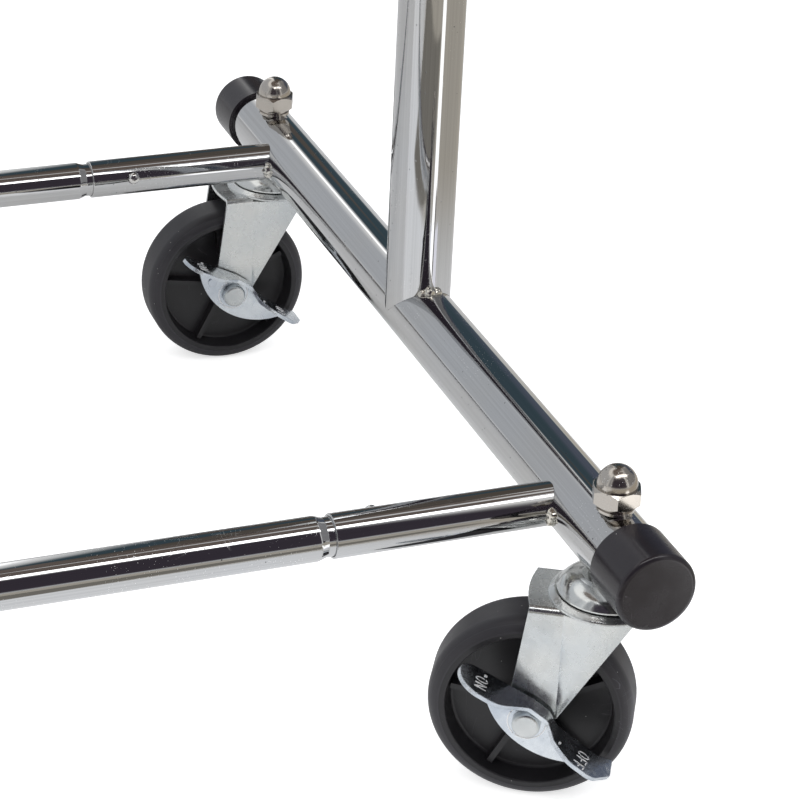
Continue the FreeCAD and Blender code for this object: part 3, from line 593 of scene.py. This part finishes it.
dish_lip = (113.3 * MM, 116.4 * MM)
fork_zinc = zinc_plate("fork_zinc", (0.66, 0.69, 0.70), (0.75, 0.76, 0.74), 0.24, 0.00010, 0.45 * MM,
                       dish_lip)
cover_zinc = zinc_plate("cover_zinc", (0.66, 0.69, 0.70), (0.75, 0.76, 0.74), 0.13, 0.00008, 0.3 * MM)
rivet_zinc = zinc_plate("rivet_zinc", (0.55, 0.58, 0.59), (0.72, 0.73, 0.72), 0.26, 0.00040, 0.3 * MM)
for name in nodes:
    if name.endswith("_fork"):
        finish(name, fork_zinc)
    if name.endswith("_axle"):
        finish(name, rivet_zinc)
finish("race_covers", cover_zinc)

# ---------------------------------------------------------------------------------------------
# Brake levers: thick pressed steel, zinc plated. ON and OFF and their marks stand up from the
# foot wings, struck in the press that formed them, and a low ring frames the rivet's seat; all of these are coloured
# near white, a painted highlight.

# Lever zinc mottles from dark blue-grey to near white: partly the plate's own mottle, partly painted reflection of
# the dark surroundings.
lever_zinc_and_reflection = zinc_plate("lever_zinc_and_reflection", (0.49, 0.54, 0.61), (0.80, 0.84, 0.87), 0.21, 0.00040, 0.5 * MM)
# Near-white zinc for the raised letters, marks and ring: a painted highlight.
struck_highlight_zinc = zinc_plate("struck_highlight_zinc", (0.93, 0.94, 0.96), (0.96, 0.96, 0.96), 0.45, 0.00001, 0.1 * MM)
lever_angle = math.radians(35.0)
off_level = 7.5 * MM
on_level_root, on_level_tip = 9.7 * MM, 5.9 * MM
on_root, on_tip = 17.0 * MM, 44.5 * MM
plate_level = 24.3 * MM
stroke_radius = 0.38 * MM
letter_height = 6.3 * MM
letter_width = 3.3 * MM
letter_pitch = 5.3 * MM
mark_sink = 0.1 * MM
on_word_start, on_word_reach = 19.0 * MM, 28.4 * MM
off_word_start, off_word_reach = 27.6 * MM, 28.2 * MM
off_word_slant = 0.22
on_tick = ((15.2 * MM, 25.3 * MM), (13.6 * MM, 25.5 * MM))
on_tick_radius = 0.75 * MM
# A small raised spot on the OFF wing, in the same painted-highlight white.
off_spot = ((15.4 * MM, 33.8 * MM), (16.6 * MM, 34.1 * MM))
off_spot_radius = 0.8 * MM
ring_radius, ring_wire, ring_sink = 9.4 * MM, 0.5 * MM, 0.25 * MM
glyphs = {
    "O": [[(0.5 + 0.5 * math.cos(a * math.pi / 8), 0.5 + 0.5 * math.sin(a * math.pi / 8)) for a in range(17)]],
    "N": [[(0, 0), (0, 1)], [(0, 1), (1, 0)], [(1, 0), (1, 1)]],
    "F": [[(0, 0), (0, 1)], [(0, 1), (0.9, 1)], [(0, 0.55), (0.7, 0.55)]],
}


def raised_line(mesh, points, radius):
    """A rounded ridge along a chain of points."""
    around = 8
    rings = []
    for i, here in enumerate(points):
        ahead = points[min(i + 1, len(points) - 1)] - points[max(i - 1, 0)]
        ahead.normalize()
        side = ahead.orthogonal().normalized()
        other = ahead.cross(side)
        rings.append([mesh.verts.new(here + (side * math.cos(k * math.pi / 4) + other * math.sin(k * math.pi / 4))
                                     * radius) for k in range(around)])
    for low, high in zip(rings, rings[1:]):
        for k in range(around):
            mesh.faces.new((low[k], low[(k + 1) % around], high[(k + 1) % around], high[k]))
    mesh.faces.new(rings[0][::-1])
    mesh.faces.new(rings[-1])


def word(mesh, text, start, step, rise):
    """Letters in a row: step runs along the line of text and rise up each letter."""
    for index, letter in enumerate(text):
        foot = start + step * (index * letter_pitch)
        for chain in glyphs[letter]:
            raised_line(mesh, [foot + step * (x * letter_width) + rise * (z * letter_height) for x, z in chain],
                        stroke_radius)


for caster in casters:
    finish(caster + "_brake_lever", lever_zinc_and_reflection)
    hinge = joints[caster + "_brake"]
    stem = joints[caster + "_swivel"]
    axle_centre = Vector(hinge["pos_m"])
    outward = Vector(hinge["axis"])
    trail = axle_centre - Vector(stem["pos_m"])
    trail.z = 0.0
    trail.normalize()
    along = trail * math.cos(lever_angle) + Vector((0, 0, math.sin(lever_angle)))
    above = -trail * math.sin(lever_angle) + Vector((0, 0, math.cos(lever_angle)))
    slope = (along * (on_tip - on_root) + above * (on_level_tip - on_level_root)).normalized()
    on_foot = axle_centre + along * on_root + above * (on_level_root - mark_sink)
    off_foot = axle_centre + above * (off_level - mark_sink)
    off_step = (outward + along * off_word_slant).normalized()
    marks = bmesh.new()
    word(marks, "ON", on_foot + slope * on_word_start + outward * on_word_reach, outward, -slope)
    word(marks, "OFF", off_foot - along * off_word_start + outward * off_word_reach, off_step, -along)
    raised_line(marks, [on_foot + slope * u + outward * h for u, h in on_tick], on_tick_radius)
    raised_line(marks, [off_foot - along * u + outward * h for u, h in off_spot], off_spot_radius)
    ring = [axle_centre + outward * (plate_level - ring_sink)
            + (along * math.cos(a * math.pi / 24) + above * math.sin(a * math.pi / 24)) * ring_radius
            for a in range(49)]
    raised_line(marks, ring, ring_wire)
    struck = smooth_piece(caster + "_lever_marks", marks, struck_highlight_zinc, caster + "_lever")

# ---------------------------------------------------------------------------------------------
# Dome nuts and washers on top of the foot tubes: turned steel with bright, slightly warm nickel
# plate. They clamp the caster stems, which come up through the tube.

nickel = plated("nickel_plate", (0.52, 0.49, 0.46), (0.56, 0.52, 0.47), 0.16, 0.00002, 0.08)
for name in ("dome_nuts", "flat_washers", "spring_washers"):
    finish(name, nickel)

# ---------------------------------------------------------------------------------------------
# Spring buttons with their leaf springs, caster stems, race balls and axle sleeves: plain bright
# steel, ground or stamped, mostly hidden inside the tubes and the casters.

bright = plated("bright_steel", (0.72, 0.72, 0.71), (0.68, 0.66, 0.63), 0.12)
for name in nodes:
    if name.endswith(("_button", "springs", "stems", "balls", "sleeve")):
        finish(name, bright)
